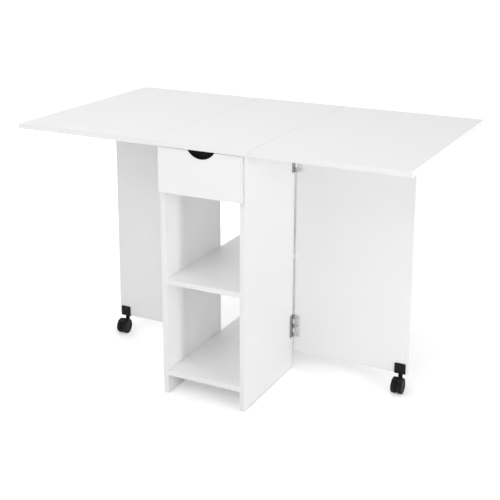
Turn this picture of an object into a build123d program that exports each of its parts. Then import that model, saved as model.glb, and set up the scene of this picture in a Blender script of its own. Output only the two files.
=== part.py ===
from build123d import *
import os
from math import cos, radians, sin

# Rolling drop-leaf table: a narrow cabinet under a fixed top, a raised leaf on each side,
# and under each leaf a hinged gate on a twin-wheel caster that swings out to carry it.
# Millimetres. X runs along the open table, Y towards its back, Z up from the floor.

# Top
TABLE_LENGTH = 1170.0        # over both raised leaves
TABLE_DEPTH = 674.0
TABLE_HEIGHT = 750.0
BOARD = 15.0                 # faced particle board, used for every panel
EDGE_EASE = 0.5              # eased corner of the edge banding
FIXED_TOP_LENGTH = 298.0
SEAM = 0.6                   # between the fixed top and a leaf

# Cabinet
SIDE_OVERHANG = 20.0         # of the fixed top past the side panels
SIDE_PANEL_DEPTH = 317.0     # the side panels stand under the front half only
FRONT_OVERHANG = 24.0        # of the top past the side panels
REAR_OVERHANG = 47.0         # of the top past the rear panel, room for the casters to turn
MIDDLE_SHELF_TOP = 350.0
BOTTOM_SHELF_TOP = 73.0
STRETCHER_HEIGHT = 60.0
GLIDE_HEIGHT = 3.0           # nail-on foot glides
GLIDE_RADIUS = 7.0
GLIDE_NAIL_RADIUS = 1.2
GLIDE_NAIL_LENGTH = 14.0
GLIDE_INSET = 20.0           # from the end of a panel to the middle of its glide

# Cam fittings: a bolt stands out of one board and a cam in the other draws it in
BOLT_RADIUS = 3.0
BOLT_THREAD = 10.0           # length of bolt in the first board
CAM_RADIUS = 7.5
CAM_DEPTH = 12.5
CAM_SETBACK = 24.0           # from the joint to the middle of the cam
CAM_SLOT_WIDTH = 1.6
CAM_SLOT_DEPTH = 2.0
CAM_FRONT_INSET = 43.0       # of the first fitting behind the cabinet's front
CAM_REAR_INSET = 64.0        # of the second one ahead of a side panel's rear edge
CAM_REAR_SPREAD = 70.0       # of the fittings along the rear panel, each side of its middle

# Drawer
DRAWER_FRONT_HEIGHT = 127.0
DRAWER_FRONT_INSET = 4.0     # from each side of the cabinet
DRAWER_FRONT_REVEAL = 3.0    # under the top
DRAWER_FRONT_GAP = 1.0       # ahead of the side panels
DRAWER_LIFT = 10.0           # of the box above the lower edge of the front
DRAWER_SIDE_THICKNESS = 12.0
DRAWER_SIDE_HEIGHT = 90.0
DRAWER_BOX_DEPTH = 280.0
DRAWER_SIDE_GAP = 1.0        # each side of the box
DRAWER_BOTTOM_THICKNESS = 3.0
DRAWER_BOTTOM_LIFT = 8.0
DRAWER_BOTTOM_TONGUE = 5.0   # of the bottom into the sides and the front
DRAWER_CAM_RADIUS = 6.0
DRAWER_CAM_DEPTH = 10.0
DRAWER_CAM_HEIGHTS = (25.0, 75.0)

# Runner strips, on which the grooved drawer sides slide
RUNNER_HEIGHT = 14.0
RUNNER_THICKNESS = 7.0
RUNNER_LENGTH = 290.0
RUNNER_MID_HEIGHT = 50.0     # above the drawer sides' lower edge
RUNNER_INSET = 2.0           # behind the cabinet's front
RUNNER_PLAY = 0.3
RUNNER_SCREW_INSETS = (20.0, 145.0, 270.0)

# Half-moon finger pull let into the upper edge of the drawer front
PULL_CHORD = 81.0
PULL_DEPTH = 22.0
PULL_OFFSET = 7.5            # to the right of the drawer front's middle
PULL_WALL = 2.0
PULL_HOLLOW = 2.0            # rounding along the bottom of the cup

# Countersunk wood screws
SCREW_HEAD_RADIUS = 3.2
SCREW_SHANK_RADIUS = 1.6
SCREW_LENGTH = 12.0
LONG_SCREW_LENGTH = 30.0
RUNNER_SCREW_LENGTH = 18.0

# Gates
GATE_LENGTH = 355.0
GATE_GROUND_GAP = 55.0
GATE_EDGE_GAP = 2.0          # from the hinge pin to the gate's end
GATE_SHELF_GAP = 0.5         # between a closed gate and the shelves
GATE_GLIDE_HEIGHT_PLAY = 0.2
GATE_GLIDE_DISTANCES = (180.0, 300.0)

# Gate hinges, three screws to a leaf
GATE_HINGE_LOW = 136.5       # height of the middle of the lower hinge
GATE_HINGE_DROP = 86.0       # of the middle of the upper hinge below the top
GATE_HINGE_LENGTH = 70.0
GATE_HINGE_WIDTH = 20.0      # from the pin to the edge of a leaf
GATE_HINGE_BARREL_RADIUS = 3.0
GATE_HINGE_PIN_RADIUS = 1.5
GATE_HINGE_PIN_SETBACK = 1.0  # of the pin behind the side panel
GATE_HINGE_KNUCKLES = 5
GATE_HINGE_SCREW_LINE = 13.0
GATE_HINGE_SCREWS = (-27.0, 0.0, 27.0)

# Flap hinges, two screws to a leaf
FLAP_HINGE_LENGTH = 50.0
FLAP_HINGE_WIDTH = 18.0
FLAP_HINGE_BARREL_RADIUS = 2.5
FLAP_HINGE_PIN_RADIUS = 1.2
FLAP_HINGE_KNUCKLES = 3
FLAP_HINGE_SCREW_LINE = 11.5
FLAP_HINGE_SCREWS = (-16.0, 16.0)
FLAP_HINGE_SPREAD = 262.0    # of the outer hinges along the seam, each side of the middle
FLAP_HINGE_GATE_GAP = 0.5    # between a gate and the barrels that it passes under

HINGE_LEAF_THICKNESS = 1.5
HINGE_CORNER = 2.5           # rounded outer corners of every hinge leaf
SCREW_HEAD_HEIGHT = HINGE_LEAF_THICKNESS   # the heads lie flush in the leaves
KNUCKLE_GAP = 0.3
LEAF_BARREL_GAP = 0.4
PIN_CLEARANCE = 0.05
PIN_HEAD_HEIGHT = 0.8

# Casters
CASTER_INSET = 21.0          # from the gate's free end to the stem
CASTER_TRAIL = 23.0
CASTER_TURNS = {"right": 1.0, "left": 3.0}   # how far each one stands turned
WHEEL_RADIUS = 22.0
WHEEL_WIDTH = 13.6
WHEEL_RIM = 4.0
WHEEL_FACE = 3.0
WHEEL_HUB_RADIUS = 5.5
WHEEL_SHOULDER = 2.6         # rounding of the tread towards the outer face
WHEEL_INNER_SHOULDER = 0.8
DISH_RADIUS = 16.5           # shallow dish in the outer face, around a low hub cap
DISH_DEPTH = 1.2
DISH_SLOPE = 0.8
HUB_CAP_RADIUS = 6.5
HUB_CAP_RISE = 0.8
AXLE_RADIUS = 2.5
AXLE_END_GAP = 0.4
HOOD_WEB = 5.0
HOOD_WEB_RADIUS = 18.5       # of the disc between the wheels
HOOD_WHEEL_GAP = 0.4
HOOD_WALL = 2.2
HOOD_LIP = 1.4               # wall left at the edges of the crowned hood
HOOD_EDGE = 0.7
HOOD_SIDE_INSET = 1.6        # of the hood's edges inside the wheels' outer faces
HOOD_WELL_GAP = 1.0
HOOD_NECK_RADIUS = 6.5
HOOD_START = -20.0           # degrees up from the level behind the wheels
HOOD_SPAN = 150.0
STEM_RADIUS = 4.0
STEM_DEPTH = 25.0            # into the gate
SPIGOT_RADIUS = 2.0
SPIGOT_FOOT = 30.0           # height of its lower end
STEM_SHOULDER_GAP = 0.3
STEM_NUT_RADIUS = 7.0
STEM_NUT_HEIGHT = 3.0
BRACKET_SIZE = 33.0
BRACKET_THICKNESS = 2.5
BRACKET_CORNER = 3.0
BRACKET_SCREW_PITCH = 19.0

# Places worked out from the sizes above
UNDERSIDE = TABLE_HEIGHT - BOARD
CABINET_WIDTH = FIXED_TOP_LENGTH - 2 * SIDE_OVERHANG
LEAF_LENGTH = (TABLE_LENGTH - FIXED_TOP_LENGTH) / 2 - SEAM
INNER_WIDTH = CABINET_WIDTH - 2 * BOARD
FRONT_Y = FRONT_OVERHANG - TABLE_DEPTH / 2
SIDE_REAR_Y = FRONT_Y + SIDE_PANEL_DEPTH
REAR_Y = TABLE_DEPTH / 2 - REAR_OVERHANG
REAR_PANEL_Y = REAR_Y - BOARD
SHELF_DEPTH = REAR_PANEL_Y - FRONT_Y
CAM_SIDE_PLACES = (FRONT_Y + CAM_FRONT_INSET, SIDE_REAR_Y - CAM_REAR_INSET)

DRAWER_FRONT_Y = FRONT_Y - DRAWER_FRONT_GAP
DRAWER_FRONT_WIDTH = CABINET_WIDTH - 2 * DRAWER_FRONT_INSET
DRAWER_FRONT_TOP = UNDERSIDE - DRAWER_FRONT_REVEAL
DRAWER_FRONT_BOTTOM = DRAWER_FRONT_TOP - DRAWER_FRONT_HEIGHT
DRAWER_BOX_BOTTOM = DRAWER_FRONT_BOTTOM + DRAWER_LIFT
DRAWER_BOX_WIDTH = INNER_WIDTH - 2 * DRAWER_SIDE_GAP
DRAWER_BOX_REAR_Y = DRAWER_FRONT_Y + DRAWER_BOX_DEPTH
DRAWER_CLEAR_WIDTH = DRAWER_BOX_WIDTH - 2 * DRAWER_SIDE_THICKNESS
DRAWER_FLOOR = DRAWER_BOX_BOTTOM + DRAWER_BOTTOM_LIFT + DRAWER_BOTTOM_THICKNESS
RUNNER_Z = DRAWER_BOX_BOTTOM + RUNNER_MID_HEIGHT
PULL_RADIUS = ((PULL_CHORD / 2) ** 2 + PULL_DEPTH ** 2) / (2 * PULL_DEPTH)

GATE_HINGE_HEIGHTS = (GATE_HINGE_LOW, UNDERSIDE - GATE_HINGE_DROP)
GATE_PIN_X = CABINET_WIDTH / 2 + GATE_HINGE_BARREL_RADIUS
GATE_PIN_Y = SIDE_REAR_Y + GATE_HINGE_PIN_SETBACK
GATE_HINGE_STAND = GATE_HINGE_BARREL_RADIUS - GATE_SHELF_GAP
GATE_START_X = GATE_PIN_X + GATE_EDGE_GAP
GATE_FRONT_Y = GATE_PIN_Y + GATE_HINGE_STAND
GATE_TOP = UNDERSIDE - 2 * FLAP_HINGE_BARREL_RADIUS - FLAP_HINGE_GATE_GAP
FLAP_PIN_X = (FIXED_TOP_LENGTH + SEAM) / 2
FLAP_PIN_Z = UNDERSIDE - FLAP_HINGE_BARREL_RADIUS
FLAP_HINGE_PLACES = (-FLAP_HINGE_SPREAD, 0.0, FLAP_HINGE_SPREAD)

STEM_X = GATE_START_X + GATE_LENGTH - CASTER_INSET
STEM_Y = GATE_FRONT_Y + BOARD / 2
BRACKET_FOOT = GATE_GROUND_GAP - BRACKET_THICKNESS
WHEEL_INNER = HOOD_WEB / 2 + HOOD_WHEEL_GAP
WHEEL_OUTER = WHEEL_INNER + WHEEL_WIDTH
WELL_RADIUS = WHEEL_RADIUS + HOOD_WELL_GAP
HOOD_RADIUS = WELL_RADIUS + HOOD_WALL
HOOD_TOP = WHEEL_RADIUS + HOOD_RADIUS
HOOD_HALF_WIDTH = WHEEL_OUTER - HOOD_SIDE_INSET

LOW = (Align.CENTER, Align.CENTER, Align.MIN)
HIGH = (Align.CENTER, Align.CENTER, Align.MAX)
SIDES = (("right", 1), ("left", -1))

os.makedirs("parts", exist_ok=True)


def keep(piece, name):
    """Label a finished piece and write it under its own name."""
    piece.part.label = name
    export_step(piece.part, f"parts/{name}.step")


def board(corner, size):
    """Draw a flat board in the open part, from its lowest corner, with eased corners."""
    length, depth, height = size
    with BuildSketch(Plane.XY.offset(corner[2])) as outline:
        with Locations((corner[0] + length / 2, corner[1] + depth / 2)):
            Rectangle(length, depth)
    slab = extrude(outline.sketch, amount=height)
    chamfer(slab.edges(), EDGE_EASE)


def cam_joint(place, into, face):
    """A bolt across the joint at place, running into the cam's board, whose cam opens to face."""
    into, face = Vector(*into), Vector(*face)
    cam_mouth = Vector(*place) + into * CAM_SETBACK + face * (BOARD / 2)
    return Plane(origin=place, z_dir=into), Plane(origin=cam_mouth, z_dir=face)


def bolt_shape(joint, reach, mode):
    """The bolt of a cam joint, or its bore, from the thread to reach past the joint."""
    with Locations(joint[0].offset(-BOLT_THREAD)):
        Cylinder(BOLT_RADIUS, BOLT_THREAD + reach, align=LOW, mode=mode)


def cam_shape(joint, radius, depth, mode):
    """The cam of a cam joint, flush with the face that it opens to."""
    with Locations(joint[1]):
        Cylinder(radius, depth, align=HIGH, mode=mode)


def cut_fittings(joints, radius=CAM_RADIUS, depth=CAM_DEPTH):
    """Bore the open board for the cams and bolts that reach it, each bolt's bore into its cam's."""
    for joint in joints:
        bolt_shape(joint, CAM_SETBACK, Mode.SUBTRACT)
        cam_shape(joint, radius, depth, Mode.SUBTRACT)


def cams(joints, radius, depth):
    """Slotted cams, one for each joint."""
    with BuildPart() as group:
        for joint in joints:
            cam_shape(joint, radius, depth, Mode.ADD)
            with Locations(joint[1]):
                Box(2 * radius, CAM_SLOT_WIDTH, CAM_SLOT_DEPTH, align=HIGH, mode=Mode.SUBTRACT)
    return group


def bolts(joints, cam_radius):
    """Cam bolts, one for each joint, up to the rim of the cam."""
    with BuildPart() as group:
        for joint in joints:
            bolt_shape(joint, CAM_SETBACK - cam_radius, Mode.ADD)
    return group


def screws(heads, length=SCREW_LENGTH):
    """Countersunk screws, each with its flat head on the plane given for it."""
    with BuildPart() as group:
        with Locations(*heads):
            Cone(SCREW_SHANK_RADIUS, SCREW_HEAD_RADIUS, SCREW_HEAD_HEIGHT, align=HIGH)
            Cylinder(SCREW_SHANK_RADIUS, length, align=HIGH)
    return group


def cut_screws(heads, length=SCREW_LENGTH):
    """Bore and countersink the open part for screws with their heads on these planes."""
    with Locations(*heads):
        Cone(
            SCREW_SHANK_RADIUS,
            SCREW_HEAD_RADIUS,
            SCREW_HEAD_HEIGHT,
            align=HIGH,
            mode=Mode.SUBTRACT,
        )
        Cylinder(SCREW_SHANK_RADIUS, length, align=HIGH, mode=Mode.SUBTRACT)


def glides(places, height, head_up):
    """Round nail-on glides; each place is the middle of its flat wearing face."""
    normal = (0, 0, 1 if head_up else -1)
    with BuildPart() as group:
        with Locations(*[Plane(origin=place, z_dir=normal) for place in places]):
            Cylinder(GLIDE_RADIUS, height, align=HIGH)
            Cylinder(GLIDE_NAIL_RADIUS, height + GLIDE_NAIL_LENGTH, align=HIGH)
    return group


def cut_nails(places, height, head_up):
    """Bore the open board for the nails of its glides."""
    normal = (0, 0, 1 if head_up else -1)
    with Locations(*[Plane(origin=place, z_dir=normal) for place in places]):
        Hole(GLIDE_NAIL_RADIUS, depth=height + GLIDE_NAIL_LENGTH)


def knuckle_spans(length, count, first):
    """Every second knuckle of a barrel, as low and high ends along the pin."""
    step = (length + KNUCKLE_GAP) / count
    starts = [index * step - length / 2 for index in range(first, count, 2)]
    return [(start, start + step - KNUCKLE_GAP) for start in starts]


def hinge_heads(plane, stand, line, pitches):
    """Planes of the screw heads of a hinge leaf, facing away from the board."""
    places = [(line, stand - HINGE_LEAF_THICKNESS, pitch) for pitch in pitches]
    return [Plane(origin=plane.from_local_coords(place), z_dir=-plane.y_dir) for place in places]


def hinge_leaf(plane, spans, stand, length, width, barrel, pin, heads):
    """Draw a hinge leaf in the open part. The plane has its origin in the barrel, x along
    the leaf, y towards the board that it lies on, at the distance stand, and z along the pin."""
    gap = barrel + LEAF_BARREL_GAP
    for low, high in spans:
        with BuildSketch(plane.offset(low)) as knuckle:
            Circle(barrel)
            with Locations((0, stand)):
                Rectangle(gap, HINGE_LEAF_THICKNESS, align=(Align.MIN, Align.MAX))
            Circle(pin + PIN_CLEARANCE, mode=Mode.SUBTRACT)
        extrude(knuckle.sketch, amount=high - low)
    board_face = plane.from_local_coords((0, stand, 0))
    with BuildSketch(Plane(board_face, x_dir=plane.x_dir, z_dir=-plane.y_dir)) as plate:
        with Locations((gap, 0)):
            Rectangle(width - gap, length, align=(Align.MIN, Align.CENTER))
        fillet(plate.vertices().group_by(Axis.X)[-1], HINGE_CORNER)
    extrude(plate.sketch, amount=HINGE_LEAF_THICKNESS)
    cut_screws(heads)


def hinge_pins(planes, length, barrel, radius):
    """Hinge pins with a flat head at each end of the barrel."""
    with BuildPart() as group:
        for plane in planes:
            with Locations(plane):
                Cylinder(radius, length)
                with Locations((0, 0, length / 2)):
                    Cylinder((radius + barrel) / 2, PIN_HEAD_HEIGHT, align=LOW)
                with Locations((0, 0, -length / 2)):
                    Cylinder((radius + barrel) / 2, PIN_HEAD_HEIGHT, align=HIGH)
    return group


# Where the cam fittings sit
def shelf_joints(shelf_top):
    """Fittings of a shelf: two into each side panel and two into the rear panel."""
    mid = shelf_top - BOARD / 2
    side = [
        cam_joint((hand * INNER_WIDTH / 2, y, mid), (-hand, 0, 0), (0, 0, -1))
        for _, hand in SIDES
        for y in CAM_SIDE_PLACES
    ]
    rear = [
        cam_joint((x, REAR_PANEL_Y, mid), (0, -1, 0), (0, 0, -1))
        for x in (-CAM_REAR_SPREAD, CAM_REAR_SPREAD)
    ]
    return side, rear


middle_side_joints, middle_rear_joints = shelf_joints(MIDDLE_SHELF_TOP)
bottom_side_joints, bottom_rear_joints = shelf_joints(BOTTOM_SHELF_TOP)
top_side_joints = [
    cam_joint((hand * (INNER_WIDTH + BOARD) / 2, y, UNDERSIDE), (0, 0, -1), (-hand, 0, 0))
    for _, hand in SIDES
    for y in CAM_SIDE_PLACES
]
top_rear_joints = [
    cam_joint((x, REAR_PANEL_Y + BOARD / 2, UNDERSIDE), (0, 0, -1), (0, -1, 0))
    for x in (-CAM_REAR_SPREAD, CAM_REAR_SPREAD)
]
stretcher_joints = [
    cam_joint(
        (hand * INNER_WIDTH / 2, SIDE_REAR_Y - BOARD / 2, UNDERSIDE - STRETCHER_HEIGHT / 2),
        (-hand, 0, 0),
        (0, 1, 0),
    )
    for _, hand in SIDES
]
side_panel_joints = middle_side_joints + bottom_side_joints + top_side_joints + stretcher_joints
rear_panel_joints = middle_rear_joints + bottom_rear_joints + top_rear_joints

# Where the screws and glides sit
side_hinge_planes = {
    name: [
        Plane(origin=(hand * GATE_PIN_X, GATE_PIN_Y, z), x_dir=(0, -1, 0), z_dir=(0, 0, -hand))
        for z in GATE_HINGE_HEIGHTS
    ]
    for name, hand in SIDES
}
gate_hinge_planes = {
    name: [
        Plane(origin=(hand * GATE_PIN_X, GATE_PIN_Y, z), x_dir=(hand, 0, 0), z_dir=(0, 0, hand))
        for z in GATE_HINGE_HEIGHTS
    ]
    for name, hand in SIDES
}
top_hinge_planes = {
    name: [
        Plane(origin=(hand * FLAP_PIN_X, y, FLAP_PIN_Z), x_dir=(-hand, 0, 0), z_dir=(0, hand, 0))
        for y in FLAP_HINGE_PLACES
    ]
    for name, hand in SIDES
}
leaf_hinge_planes = {
    name: [
        Plane(origin=(hand * FLAP_PIN_X, y, FLAP_PIN_Z), x_dir=(hand, 0, 0), z_dir=(0, -hand, 0))
        for y in FLAP_HINGE_PLACES
    ]
    for name, hand in SIDES
}


def gate_heads(plane, stand):
    return hinge_heads(plane, stand, GATE_HINGE_SCREW_LINE, GATE_HINGE_SCREWS)


def flap_heads(plane):
    return hinge_heads(plane, FLAP_HINGE_BARREL_RADIUS, FLAP_HINGE_SCREW_LINE, FLAP_HINGE_SCREWS)


side_hinge_heads = {
    name: [head for plane in planes for head in gate_heads(plane, GATE_HINGE_BARREL_RADIUS)]
    for name, planes in side_hinge_planes.items()
}
gate_hinge_heads = {
    name: [head for plane in planes for head in gate_heads(plane, GATE_HINGE_STAND)]
    for name, planes in gate_hinge_planes.items()
}
top_hinge_heads = {
    name: [head for plane in planes for head in flap_heads(plane)]
    for name, planes in top_hinge_planes.items()
}
leaf_hinge_heads = {
    name: [head for plane in planes for head in flap_heads(plane)]
    for name, planes in leaf_hinge_planes.items()
}
runner_heads = {
    name: [
        Plane(
            origin=(
                hand * (INNER_WIDTH / 2 - RUNNER_THICKNESS),
                FRONT_Y + RUNNER_INSET + inset,
                RUNNER_Z,
            ),
            z_dir=(-hand, 0, 0),
        )
        for inset in RUNNER_SCREW_INSETS
    ]
    for name, hand in SIDES
}
side_foot_places = {
    name: [
        (hand * (CABINET_WIDTH - BOARD) / 2, y, 0)
        for y in (FRONT_Y + GLIDE_INSET, SIDE_REAR_Y - GLIDE_INSET)
    ]
    for name, hand in SIDES
}
rear_foot_places = [
    (hand * (INNER_WIDTH / 2 - GLIDE_INSET), REAR_Y - BOARD / 2, 0) for _, hand in SIDES
]

# Side panels of the cabinet, under the front half of the top
for name, hand in SIDES:
    with BuildPart() as side_panel:
        left_x = INNER_WIDTH / 2 if hand > 0 else -CABINET_WIDTH / 2
        board((left_x, FRONT_Y, GLIDE_HEIGHT), (BOARD, SIDE_PANEL_DEPTH, UNDERSIDE - GLIDE_HEIGHT))
        cut_fittings([joint for joint in side_panel_joints if joint[0].origin.X * hand > 0])
        with Locations(*side_hinge_heads[name]):
            Hole(SCREW_SHANK_RADIUS, depth=SCREW_LENGTH)
        with Locations(*runner_heads[name]):
            Hole(SCREW_SHANK_RADIUS, depth=RUNNER_SCREW_LENGTH)
        cut_nails(side_foot_places[name], GLIDE_HEIGHT, False)
    keep(side_panel, f"{name}_side_panel")

# Rear panel: the far end of the shelves and the third foot of the cabinet
with BuildPart() as rear_panel:
    board((-INNER_WIDTH / 2, REAR_PANEL_Y, GLIDE_HEIGHT), (INNER_WIDTH, BOARD, UNDERSIDE - GLIDE_HEIGHT))
    cut_fittings(rear_panel_joints)
    cut_nails(rear_foot_places, GLIDE_HEIGHT, False)
keep(rear_panel, "rear_panel")

# Shelves, from the front edge right through to the rear panel
for shelf_name, shelf_top, joints in (
    ("middle_shelf", MIDDLE_SHELF_TOP, middle_side_joints + middle_rear_joints),
    ("bottom_shelf", BOTTOM_SHELF_TOP, bottom_side_joints + bottom_rear_joints),
):
    with BuildPart() as shelf:
        board((-INNER_WIDTH / 2, FRONT_Y, shelf_top - BOARD), (INNER_WIDTH, SHELF_DEPTH, BOARD))
        cut_fittings(joints)
    keep(shelf, shelf_name)

# Stretcher on edge under the top, between the side panels behind the drawer
with BuildPart() as top_stretcher:
    board(
        (-INNER_WIDTH / 2, SIDE_REAR_Y - BOARD, UNDERSIDE - STRETCHER_HEIGHT),
        (INNER_WIDTH, BOARD, STRETCHER_HEIGHT),
    )
    cut_fittings(stretcher_joints)
keep(top_stretcher, "top_stretcher")

# Fixed middle of the top
with BuildPart() as fixed_top:
    board((-FIXED_TOP_LENGTH / 2, -TABLE_DEPTH / 2, UNDERSIDE), (FIXED_TOP_LENGTH, TABLE_DEPTH, BOARD))
    cut_fittings(top_side_joints + top_rear_joints)
    with Locations(*top_hinge_heads["right"], *top_hinge_heads["left"]):
        Hole(SCREW_SHANK_RADIUS, depth=SCREW_LENGTH)
keep(fixed_top, "fixed_top")

all_joints = side_panel_joints + rear_panel_joints
cam_locks = cams(all_joints, CAM_RADIUS, CAM_DEPTH)
keep(cam_locks, "cam_locks")
cam_bolts = bolts(all_joints, CAM_RADIUS)
keep(cam_bolts, "cam_bolts")
foot_glides = glides(
    side_foot_places["right"] + side_foot_places["left"] + rear_foot_places, GLIDE_HEIGHT, False
)
keep(foot_glides, "foot_glides")

# Runner strips
for name, hand in SIDES:
    with BuildPart() as runner:
        with BuildSketch(Plane.XZ.offset(-FRONT_Y - RUNNER_INSET)):
            with Locations((hand * (INNER_WIDTH - RUNNER_THICKNESS) / 2, RUNNER_Z)):
                Rectangle(RUNNER_THICKNESS, RUNNER_HEIGHT)
        extrude(amount=-RUNNER_LENGTH)
        cut_screws(runner_heads[name], RUNNER_SCREW_LENGTH)
    keep(runner, f"{name}_runner")
runner_screws = screws(runner_heads["right"] + runner_heads["left"], RUNNER_SCREW_LENGTH)
keep(runner_screws, "runner_screws")

# Side leaves of the gate hinges, on the cabinet's sides, and the pins that they hold
side_spans = knuckle_spans(GATE_HINGE_LENGTH, GATE_HINGE_KNUCKLES, 0)
gate_spans = knuckle_spans(GATE_HINGE_LENGTH, GATE_HINGE_KNUCKLES, 1)
all_side_planes = side_hinge_planes["right"] + side_hinge_planes["left"]
with BuildPart() as gate_hinge_side_leaves:
    for plane in all_side_planes:
        hinge_leaf(
            plane,
            side_spans,
            GATE_HINGE_BARREL_RADIUS,
            GATE_HINGE_LENGTH,
            GATE_HINGE_WIDTH,
            GATE_HINGE_BARREL_RADIUS,
            GATE_HINGE_PIN_RADIUS,
            gate_heads(plane, GATE_HINGE_BARREL_RADIUS),
        )
keep(gate_hinge_side_leaves, "gate_hinge_side_leaves")
gate_hinge_pins = hinge_pins(
    all_side_planes, GATE_HINGE_LENGTH, GATE_HINGE_BARREL_RADIUS, GATE_HINGE_PIN_RADIUS
)
keep(gate_hinge_pins, "gate_hinge_pins")
gate_hinge_side_screws = screws(side_hinge_heads["right"] + side_hinge_heads["left"])
keep(gate_hinge_side_screws, "gate_hinge_side_screws")

# Flap hinge leaves under the fixed top, and their pins
outer_spans = knuckle_spans(FLAP_HINGE_LENGTH, FLAP_HINGE_KNUCKLES, 0)
middle_spans = knuckle_spans(FLAP_HINGE_LENGTH, FLAP_HINGE_KNUCKLES, 1)
all_top_planes = top_hinge_planes["right"] + top_hinge_planes["left"]
with BuildPart() as flap_hinge_top_leaves:
    for plane in all_top_planes:
        hinge_leaf(
            plane,
            outer_spans,
            FLAP_HINGE_BARREL_RADIUS,
            FLAP_HINGE_LENGTH,
            FLAP_HINGE_WIDTH,
            FLAP_HINGE_BARREL_RADIUS,
            FLAP_HINGE_PIN_RADIUS,
            flap_heads(plane),
        )
keep(flap_hinge_top_leaves, "flap_hinge_top_leaves")
flap_hinge_pins = hinge_pins(
    all_top_planes, FLAP_HINGE_LENGTH, FLAP_HINGE_BARREL_RADIUS, FLAP_HINGE_PIN_RADIUS
)
keep(flap_hinge_pins, "flap_hinge_pins")
flap_hinge_top_screws = screws(top_hinge_heads["right"] + top_hinge_heads["left"])
keep(flap_hinge_top_screws, "flap_hinge_top_screws")

# Drawer
drawer_side_x = (DRAWER_CLEAR_WIDTH + DRAWER_SIDE_THICKNESS) / 2


def drawer_cam_joint(hand, height):
    """Fitting between the drawer front and a side, its cam inside the box."""
    place = (hand * drawer_side_x, DRAWER_FRONT_Y, DRAWER_BOX_BOTTOM + height)
    bolt, cam = cam_joint(place, (0, 1, 0), (-hand, 0, 0))
    return bolt, cam.offset((DRAWER_SIDE_THICKNESS - BOARD) / 2)


drawer_joints = [
    drawer_cam_joint(hand, height) for _, hand in SIDES for height in DRAWER_CAM_HEIGHTS
]
drawer_back_heads = {
    name: [
        Plane(
            origin=(
                hand * DRAWER_BOX_WIDTH / 2,
                DRAWER_BOX_REAR_Y - DRAWER_SIDE_THICKNESS / 2,
                DRAWER_BOX_BOTTOM + height,
            ),
            z_dir=(hand, 0, 0),
        )
        for height in DRAWER_CAM_HEIGHTS
    ]
    for name, hand in SIDES
}


def pull_outline(radius):
    """Half-moon below the upper edge of the drawer front, on the XZ plane of its face."""
    with BuildSketch(Plane.XZ.offset(BOARD - DRAWER_FRONT_Y)) as half_moon:
        with Locations((PULL_OFFSET, DRAWER_FRONT_TOP - PULL_DEPTH + PULL_RADIUS)):
            Circle(radius)
        with Locations((PULL_OFFSET, DRAWER_FRONT_TOP)):
            Rectangle(
                2 * PULL_RADIUS,
                2 * PULL_RADIUS,
                align=(Align.CENTER, Align.MIN),
                mode=Mode.SUBTRACT,
            )
    return half_moon


with BuildPart() as drawer_front:
    board(
        (-DRAWER_FRONT_WIDTH / 2, DRAWER_FRONT_Y - BOARD, DRAWER_FRONT_BOTTOM),
        (DRAWER_FRONT_WIDTH, BOARD, DRAWER_FRONT_HEIGHT),
    )
    extrude(pull_outline(PULL_RADIUS).sketch, amount=-BOARD, mode=Mode.SUBTRACT)
    for joint in drawer_joints:
        bolt_shape(joint, CAM_SETBACK, Mode.SUBTRACT)
    with Locations((0, DRAWER_FRONT_Y, DRAWER_FLOOR)):
        Box(
            DRAWER_CLEAR_WIDTH,
            2 * DRAWER_BOTTOM_TONGUE,
            DRAWER_BOTTOM_THICKNESS,
            align=HIGH,
            mode=Mode.SUBTRACT,
        )
keep(drawer_front, "drawer_front")

with BuildPart() as finger_pull:
    extrude(pull_outline(PULL_RADIUS).sketch, amount=-BOARD)
    extrude(
        pull_outline(PULL_RADIUS - PULL_WALL).sketch, amount=PULL_WALL - BOARD, mode=Mode.SUBTRACT
    )
    cup_edges = finger_pull.edges().filter_by(GeomType.CIRCLE).sort_by(SortBy.RADIUS)
    fillet(cup_edges[:2].sort_by(Axis.Y)[-1], PULL_HOLLOW)
keep(finger_pull, "finger_pull")

for name, hand in SIDES:
    with BuildPart() as drawer_side:
        low_x = DRAWER_CLEAR_WIDTH / 2 if hand > 0 else -DRAWER_BOX_WIDTH / 2
        board(
            (low_x, DRAWER_FRONT_Y, DRAWER_BOX_BOTTOM),
            (DRAWER_SIDE_THICKNESS, DRAWER_BOX_DEPTH, DRAWER_SIDE_HEIGHT),
        )
        with Locations((hand * DRAWER_BOX_WIDTH / 2, DRAWER_FRONT_Y, RUNNER_Z)):
            Box(
                2 * (RUNNER_THICKNESS - DRAWER_SIDE_GAP + RUNNER_PLAY),
                2 * DRAWER_BOX_DEPTH,
                RUNNER_HEIGHT + 2 * RUNNER_PLAY,
                mode=Mode.SUBTRACT,
            )
        with Locations((hand * DRAWER_CLEAR_WIDTH / 2, DRAWER_FRONT_Y, DRAWER_FLOOR)):
            Box(
                2 * DRAWER_BOTTOM_TONGUE,
                2 * DRAWER_BOX_DEPTH,
                DRAWER_BOTTOM_THICKNESS,
                align=HIGH,
                mode=Mode.SUBTRACT,
            )
        cut_fittings(drawer_joints, DRAWER_CAM_RADIUS, DRAWER_CAM_DEPTH)
        cut_screws(drawer_back_heads[name], LONG_SCREW_LENGTH)
    keep(drawer_side, f"drawer_{name}_side")

with BuildPart() as drawer_back:
    board(
        (-DRAWER_CLEAR_WIDTH / 2, DRAWER_BOX_REAR_Y - DRAWER_SIDE_THICKNESS, DRAWER_FLOOR),
        (
            DRAWER_CLEAR_WIDTH,
            DRAWER_SIDE_THICKNESS,
            DRAWER_BOX_BOTTOM + DRAWER_SIDE_HEIGHT - DRAWER_FLOOR,
        ),
    )
    with Locations(*drawer_back_heads["right"], *drawer_back_heads["left"]):
        Hole(SCREW_SHANK_RADIUS, depth=LONG_SCREW_LENGTH)
keep(drawer_back, "drawer_back")

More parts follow.
